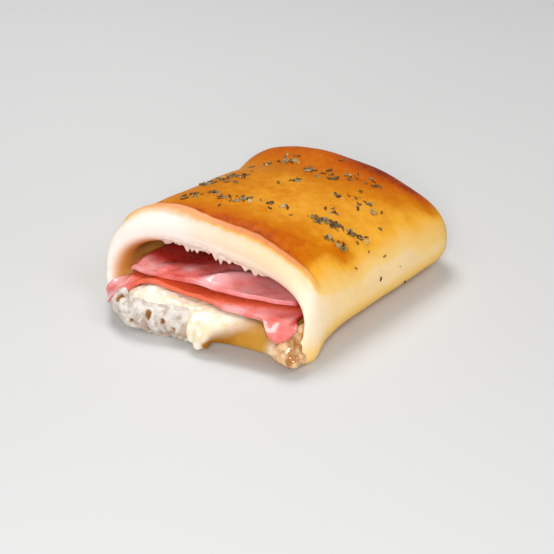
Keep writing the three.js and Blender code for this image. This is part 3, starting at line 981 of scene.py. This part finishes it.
def make_upper_ham():
    shape, *shares = sheet(HAM_COLUMNS, HAM_ROWS)
    places = sheet_places(shares, UPPER_HAM_SIDES, upper_ham_front, UPPER_HAM_END)
    points = laid_sheet(*places, shares[2], upper_ham_bottom, upper_ham_top)
    x, y = (points[:, :2] - FOLD_START).T
    aside = y * math.cos(FOLD_HEADING) - x * math.sin(FOLD_HEADING)
    fading = 1 - ramp(points[:, 1], -38, -22)
    behind_edge = ramp(places[1] - upper_ham_front(places[0]), 0.01, 0.08)
    points[:, 2] += behind_edge * fading * FOLD_HEIGHT * hump(aside, 0, FOLD_REACH)
    points[:, 2] += behind_edge * CURL_HEIGHT * ramp(-places[0], 0.5, 0.85)
    flat = points * (1, 1, 0)
    points[:, 2] += fading * rough(flat, UPPER_HAM_GRAINS)
    place_points(shape, points)
    # Pale fat along the fold, also a painted highlight where the fold catches light; the right half is
    # made paler too.
    fat_and_highlight = 0.85 * hump(aside + 1.5 * grain(flat, 4, 38), 0, FOLD_HIGHLIGHT_REACH)
    fat_and_highlight = np.maximum(fat_and_highlight, 0.45 * ramp(points[:, 0] + 6 * grain(flat, 7, 37), 2, 16))
    # Painted shade on the upper slice deep under the roof, strongest at the left, and along its right end
    # by the lip
    shade_from = -47 + 18 * ramp(points[:, 0], -22, 0) + 2 * grain(flat, 9, 36)
    painted_shade = blend(0.9, 0.42, ramp(points[:, 0], -15, 5))
    painted_shade = painted_shade * ramp(points[:, 1], shade_from, shade_from + 8)
    painted_shade = np.maximum(painted_shade, ramp(places[0], 0.77, 0.84))
    marks = {"fat_and_highlight": fat_and_highlight, "painted_shade": painted_shade, "gap_shade": np.zeros_like(fat_and_highlight)}
    data = mesh_of("ham_slice_upper", shape)
    rounded(piece_of("ham_slice_upper", data, ham, "ham_upper", marks))


make_upper_ham()

# %% [markdown]
# ## Cheese: finish
# Melted cheese is cream where it is thick, golden where it ran thin over the lip, and amber where it
# crisped at the corner. Separate materials would meet in hard lines. One material mixes these colours by
# attributes, and another attribute keeps the part that ran over the lip duller than the rest.

# %% Finish of the cheese
CHEESE_CREAM = linear(244, 233, 212)
CHEESE_WARM = linear(238, 217, 174)
CHEESE_GOLD = linear(152, 96, 12)
CHEESE_TAN = linear(190, 138, 54)
CHEESE_AMBER = linear(176, 116, 48)
CHEESE_PEACH = linear(234, 196, 150)


def cheese_finish():
    finish = Finish(
        "cheese",
        Subsurface_Weight=0.3,
        Subsurface_Scale=0.003,
        Subsurface_Radius=(1, 0.7, 0.35),
        Coat_Roughness=0.1,
        IOR=1.4,
    )
    soft = finish.colours(finish.cloud(3.5, 4), (0.3, CHEESE_WARM), (0.52, CHEESE_CREAM))
    shade = finish.combine(finish.mark("pale"), finish.range(finish.cloud(6, 4), -0.4, 0.4))
    belly = finish.colours(shade, (0.1, CHEESE_GOLD), (0.9, CHEESE_TAN))
    corner = finish.colours(finish.cloud(4, 3), (0.38, CHEESE_AMBER), (0.6, CHEESE_PEACH))
    toasted = finish.mix(finish.mark("toast"), belly, corner)
    finish.set("Base Color", finish.mix(finish.mark("gold"), soft, toasted))
    finish.set("Specular IOR Level", finish.range(finish.mark("shine"), 0.08, 0.4))
    finish.set("Coat Weight", finish.range(finish.mark("shine"), 0.05, 0.7))
    finish.set("Roughness", finish.range(finish.cloud(2.5, 3), 0.28, 0.5))
    finish.bump(finish.cloud(1.8, 4), 0.16, 0.5)
    return finish.material


print("cheese finish ready")

# %% [markdown]
# ## Cheese: shape
# The cheese keeps its slab form at the left, and to the right it has melted over the lip, with a drip at
# the front and greasy beads at the corner. Separate blobs laid on a sheet would show their joints. They
# are fused by a voxel Remesh instead, as melted cheese runs together, and then smoothed. Small curds are
# raised on the firm part last, because the smoothing would take them away.

# %% Melted cheese
CHEESE_COLUMNS = 120
CHEESE_ROWS = 70
CHEESE_SIDES = (-0.75, 0.975)
CHEESE_END = 0.84
VOXEL = 0.5
SMOOTHING = 6
RUNNY_SMOOTHING = 8
RUNNY_X = (12, 34)
RUNNY_Y = -52

# Blobs: middle and radii in mm
DRIP = ((6.2, -63.6, 6.4), (1.5, 1.5, 3.8))
DRIP_NECK = ((6, -61.2, 9.4), (2.4, 1.3, 2.6))
DRIP_END = ((6.6, -64.4, 3.9), (2.0, 2.0, 2.1))
BEADS = (
    ((40, -52.8, 10.4), (3.4, 3, 2.8)),
    ((38, -55.4, 9), (2.8, 2.4, 2.4)),
    ((42.6, -56.4, 5.2), (4.4, 2.8, 2.9)),
    ((38.6, -57, 5.4), (3.2, 2.2, 2.6)),
    ((45, -53.4, 5.4), (2.4, 2.6, 2.6)),
    ((43.2, -52.6, 9), (2.2, 2.4, 2.2)),
    ((41.8, -47, 12), (2.2, 5, 4)),
    ((9.6, -64.2, 4.8), (1.9, 1.5, 1.9)),
)


def add_blob(shape, centre, radii):
    size = Matrix.Diagonal((*(Vector(radii) * MM), 1))
    place = Matrix.Translation(Vector(centre) * MM) @ size
    bmesh.ops.create_icosphere(shape, subdivisions=4, radius=1, matrix=place)


def fused(shape, voxel):
    draft = bpy.data.objects.new("draft", mesh_of("draft", shape))
    scene.collection.objects.link(draft)
    joining = draft.modifiers.new("joining", "REMESH")
    joining.mode = "VOXEL"
    joining.voxel_size = voxel * MM
    ready = draft.evaluated_get(bpy.context.evaluated_depsgraph_get())
    whole = bmesh.new()
    whole.from_mesh(ready.to_mesh())
    bpy.data.objects.remove(draft)
    return whole


def is_runny(place):
    return RUNNY_X[0] * MM < place.x < RUNNY_X[1] * MM and place.y < RUNNY_Y * MM


def melted_cheese():
    shape, *shares = sheet(CHEESE_COLUMNS, CHEESE_ROWS)
    places = sheet_places(shares, CHEESE_SIDES, cheese_front, CHEESE_END)
    points = laid_sheet(*places, shares[2], cheese_bottom, cheese_top)
    points[:, 2] += lip_lift(*points.T)
    place_points(shape, points)
    for blob in (DRIP, DRIP_NECK, DRIP_END, *BEADS):
        add_blob(shape, *blob)
    whole = fused(shape, VOXEL)
    runny = [vertex for vertex in whole.verts if is_runny(vertex.co)]
    for vertices in [whole.verts] * SMOOTHING + [runny] * RUNNY_SMOOTHING:
        bmesh.ops.smooth_vert(
            whole, verts=vertices, factor=0.5, use_axis_x=True, use_axis_y=True, use_axis_z=True
        )
    whole.normal_update()
    return whole


melted = melted_cheese()
print("points of the melted cheese:", len(melted.verts))

# %% Curds and browning of the cheese
CURD_GRAINS = ((0.4, 3, 42), (0.25, 1.4, 43))


def with_curds(shape):
    points = np.array([vertex.co for vertex in shape.verts]) / MM
    outward = np.array([vertex.normal for vertex in shape.verts])
    firm = blend(0.15, 1, 1 - ramp(points[:, 0], 4, 14)) * (1 - ramp(points[:, 1], -50, -40))
    curds = firm * rough(points, CURD_GRAINS)
    return points + curds[:, None] * outward


def cheese_marks(points):
    x, y, z = points.T
    corner = ramp(x, 32, 38) * (1 - ramp(y, -50, -42))
    crisp = hump(np.hypot(x - 10.6, z - 4.8), 0, 1.5) * (1 - ramp(y, -63, -61))
    golden_to = 8 + 0.42 * (x - 8) + grain(points, 6, 41)
    belly = ramp(x, 9, 12.5) * (1 - ramp(z, golden_to - 4, golden_to + 2.5)) * (1 - corner)
    browned = corner * blend(0.95, 0.38, ramp(z, 5.5, 8))
    gold = np.clip(belly + browned + crisp, 0, 1) * (1 - ramp(y, -50, -44))
    gold = np.maximum(gold, ramp(x, 35, 38))
    shine = np.maximum(corner, 1 - ramp(x, 7.5, 10.5))
    return {"gold": gold, "toast": corner, "shine": shine, "pale": ramp(x, 10, 34)}


cheese_points = with_curds(melted)
place_points(melted, cheese_points)
cheese_data = mesh_of("cheese", melted)
piece_of("cheese", cheese_data, cheese_finish(), "cheese_melt", cheese_marks(cheese_points))

# %% [markdown]
# ## Oregano
# Dried oregano is a mix of curled leaf chips, dark crumbs of leaf and pale bits of stem. Particles could
# scatter it, but they are lost when the model is exported. Instead, one small shape for each kind is
# modelled, and its copies are joined in one mesh, each dropped onto the bread by a ray from above. A few
# lone crumbs on the right side are placed by rays from the side.

# %% One flake of each kind
CHIP_THICKNESS = 0.16
STEM_ENDS = (0.16, 0.1)
STEM_BEND = 0.25


def curled_chip(cells, width, curl, twist, notch):
    shape = bmesh.new()
    bmesh.ops.create_grid(shape, x_segments=cells, y_segments=2, size=1)
    for vertex in shape.verts:
        along, aside, _ = vertex.co
        narrow = width * (1 - 0.75 * along * along) * (1 + notch * math.sin(5 * along + 2 * aside))
        lift = curl * (aside * aside - 0.4) + 0.5 * curl * along * along
        turn = twist * along
        vertex.co = (along, aside * narrow * math.cos(turn), lift + aside * narrow * math.sin(turn))
    bmesh.ops.solidify(shape, geom=shape.faces[:], thickness=CHIP_THICKNESS)
    bmesh.ops.recalc_face_normals(shape, faces=shape.faces)
    return shape


def bent_stem():
    shape = bmesh.new()
    lying = Matrix.Rotation(math.pi / 2, 4, "Y")
    wide, narrow = STEM_ENDS
    bmesh.ops.create_cone(
        shape, cap_ends=True, segments=5, radius1=wide, radius2=narrow, depth=2, matrix=lying
    )
    long_edges = [edge for edge in shape.edges if edge.calc_length() > 1]
    bmesh.ops.subdivide_edges(shape, edges=long_edges, cuts=3, use_grid_fill=True)
    for vertex in shape.verts:
        vertex.co.z += STEM_BEND * (1 - vertex.co.x**2)
    return shape


leaf_chip = mesh_of("leaf_chip", curled_chip(cells=5, width=0.6, curl=0.3, twist=0.3, notch=0.35))
dark_chip = mesh_of("dark_chip", curled_chip(cells=4, width=0.42, curl=0.45, twist=0.7, notch=0.4))
stem_bit = mesh_of("stem_bit", bent_stem())
print("faces of a flake:", [len(flake.polygons) for flake in (leaf_chip, dark_chip, stem_bit)])

# %% Where the flakes lie
# Patches: middle, half length and half width in mm, heading in degrees and share of the flakes
PATCHES = (
    (28, -8.5, 9, 2.4, 20, 0.13),
    (24, -1, 3, 2, 0, 0.02),
    (36, -14.5, 5.5, 1.8, 25, 0.08),
    (-25, -21, 7, 4, 60, 0.09),
    (-30, -3, 9, 4, 70, 0.11),
    (-22, 2, 7, 4, 70, 0.07),
    (-13, -18, 9, 4, 10, 0.05),
    (-26, 24, 5, 3, 70, 0.03),
    (-17, 32, 6, 4, 10, 0.03),
    (-0.5, 9.5, 3.2, 2.4, 60, 0.05),
    (2, 25, 9, 5, 0, 0.06),
    (17, 33, 9, 5, 20, 0.07),
    (3, -14, 9, 4, 10, 0.05),
    (26, 13, 10, 5, 20, 0.05),
    (40, -3, 5, 4, 60, 0.015),
    (5, 5, 36, 36, 0, 0.08),
)

# Lone specks on the right side: place along and height in mm
SIDE_SPOTS = ((-15, 25.5), (-3, 17), (10, 17), (15, 8), (2, 24))

bread_tree = BVHTree.FromObject(bread, bpy.context.evaluated_depsgraph_get())


def side_place(y, z):
    hit, normal, *_ = bread_tree.ray_cast(Vector((WIDTH, y, z)) * MM, Vector((-1, 0, 0)))
    return hit, normal


def flake_place(draw):
    shares = np.cumsum([patch[5] for patch in PATCHES])
    chosen = int(np.searchsorted(shares, draw.uniform(0, shares[-1])))
    x, y, half_length, half_width, heading, _ = PATCHES[chosen]
    reach = math.sqrt(draw.uniform())
    turn = draw.uniform(0, 2 * math.pi)
    along = half_length * reach * math.cos(turn)
    aside = half_width * reach * math.sin(turn)
    lean = math.radians(heading)
    x += along * math.cos(lean) - aside * math.sin(lean)
    y += along * math.sin(lean) + aside * math.cos(lean)
    hit, normal, *_ = bread_tree.ray_cast(Vector((x, y, 2 * HEIGHT)) * MM, Vector((0, 0, -1)))
    return hit, normal


print("patches of oregano:", len(PATCHES))

# %% Flakes joined in one mesh
SEAT_HEIGHT = 0.12
TILT = 0.16
STEEPEST = 0.35


def scatter(name, template, finish, count, lengths, seed, spots=()):
    draw = np.random.default_rng(seed)
    flakes = bmesh.new()
    shades = []
    while len(shades) < count:
        lone = len(shades) < len(spots)
        hit, normal = side_place(*spots[len(shades)]) if lone else flake_place(draw)
        size = draw.uniform(*lengths) * MM / 2
        tilt = Matrix.Rotation(draw.normal(0, TILT), 4, "X")
        tilt = tilt @ Matrix.Rotation(draw.normal(0, TILT), 4, "Y")
        spin = Matrix.Rotation(draw.uniform(0, 2 * math.pi), 4, "Z")
        shade = draw.uniform()
        if hit is None or (normal.z < STEEPEST and not lone):
            continue
        facing = normal.to_track_quat("Z", "Y").to_matrix().to_4x4()
        seat = Matrix.Translation(hit + normal * SEAT_HEIGHT * MM) @ facing
        flakes.from_mesh(template)
        newest = flakes.verts[-len(template.vertices) :]
        placing = seat @ spin @ tilt @ Matrix.Scale(size, 4)
        bmesh.ops.transform(flakes, matrix=placing, verts=newest)
        shades.append(shade)
    marks = {"shade": np.repeat(shades, len(template.vertices))}
    piece_of(name, mesh_of(name, flakes), finish, "bread_roll", marks)


print("scatter helper ready")

# %% Finishes of the oregano
def flake_finish(name, *stops):
    finish = Finish(name, Roughness=0.75)
    flake_tone = finish.range(finish.mark("shade"), 0, 0.75)
    fine_tone = finish.range(finish.cloud(0.6, 3), 0, 0.25)
    tone = finish.combine(flake_tone, fine_tone)
    finish.set("Base Color", finish.colours(tone, *stops))
    finish.bump(finish.cloud(0.35, 3), 0.06, 0.6)
    return finish.material


leaf_finish = flake_finish(
    "oregano_leaf",
    (0.05, linear(84, 54, 24)),
    (0.35, linear(112, 92, 50)),
    (0.65, linear(144, 132, 88)),
    (0.95, linear(206, 188, 140)),
)
dark_finish = flake_finish(
    "oregano_dark", (0.1, linear(74, 42, 16)), (0.55, linear(112, 70, 26)), (0.95, linear(148, 102, 48))
)
stem_finish = flake_finish("oregano_stem", (0.1, linear(170, 126, 62)), (0.9, linear(224, 196, 140)))
print("oregano finishes ready")

# %% Scatter the oregano
scatter("oregano_leaves", leaf_chip, leaf_finish, count=130, lengths=(1.4, 3.3), seed=5)
scatter("oregano_crumbs", dark_chip, dark_finish, count=120, lengths=(0.8, 2.5), seed=6, spots=SIDE_SPOTS)
scatter("oregano_stems", stem_bit, stem_finish, count=34, lengths=(1.0, 2.4), seed=7)

# %% [markdown]
# ## Floor and light
# The roll is shown on a plain pale floor under soft studio light. One small lamp would give hard, dark
# shadows. Large round lamps and a soft world are used: a weak key at the front left, a strong lamp near
# the camera that lights the mouth, a high one at the back left that casts the soft shadow, and one that
# fills the right side.

# %% Floor
FLOOR_SIZE = 6
FLOOR_DROP = 0.05
FLOOR_GREY = linear(211, 211, 210)
FLOOR_PALE = linear(217, 217, 216)


def make_floor():
    shape = bmesh.new()
    bmesh.ops.create_grid(shape, x_segments=1, y_segments=1, size=FLOOR_SIZE / 2)
    data = mesh_of("floor", shape)
    finish = Finish("floor", Roughness=0.7)
    finish.set("Base Color", finish.colours(finish.cloud(400, 2), (0.3, FLOOR_GREY), (0.7, FLOOR_PALE)))
    data.materials.append(finish.material)
    floor = bpy.data.objects.new("floor", data)
    floor.location.z = -FLOOR_DROP * MM
    scene.collection.objects.link(floor)


make_floor()
print("floor in m:", FLOOR_SIZE)

# %% Lamps and world
# Lamps: azimuth and elevation in degrees, distance and size in m, power in W
LAMPS = (
    ("key", -12, 50, 0.9, 0.4, 0.7),
    ("front", 30, 28, 1.0, 0.3, 6.0),
    ("high", -125, 64, 0.9, 0.45, 4.2),
    ("fill", 88, 48, 1.1, 0.6, 2.4),
)
WORLD_COLOUR = linear(250, 250, 252)
WORLD_STRENGTH = 0.23


def make_lamp(name, azimuth, elevation, distance, size, power):
    light = bpy.data.lights.new(name, "AREA")
    light.shape = "DISK"
    light.size = size
    light.energy = power
    lamp = bpy.data.objects.new(name, light)
    aim(lamp, direction(math.radians(azimuth), math.radians(elevation)), distance)


for lamp in LAMPS:
    make_lamp(*lamp)
world = bpy.data.worlds.new("studio")
world.use_nodes = True
background = world.node_tree.nodes["Background"]
background.inputs["Color"].default_value = WORLD_COLOUR
background.inputs["Strength"].default_value = WORLD_STRENGTH
scene.world = world
scene.view_settings.view_transform = "Standard"
print("lamps:", ", ".join(lamp[0] for lamp in LAMPS))
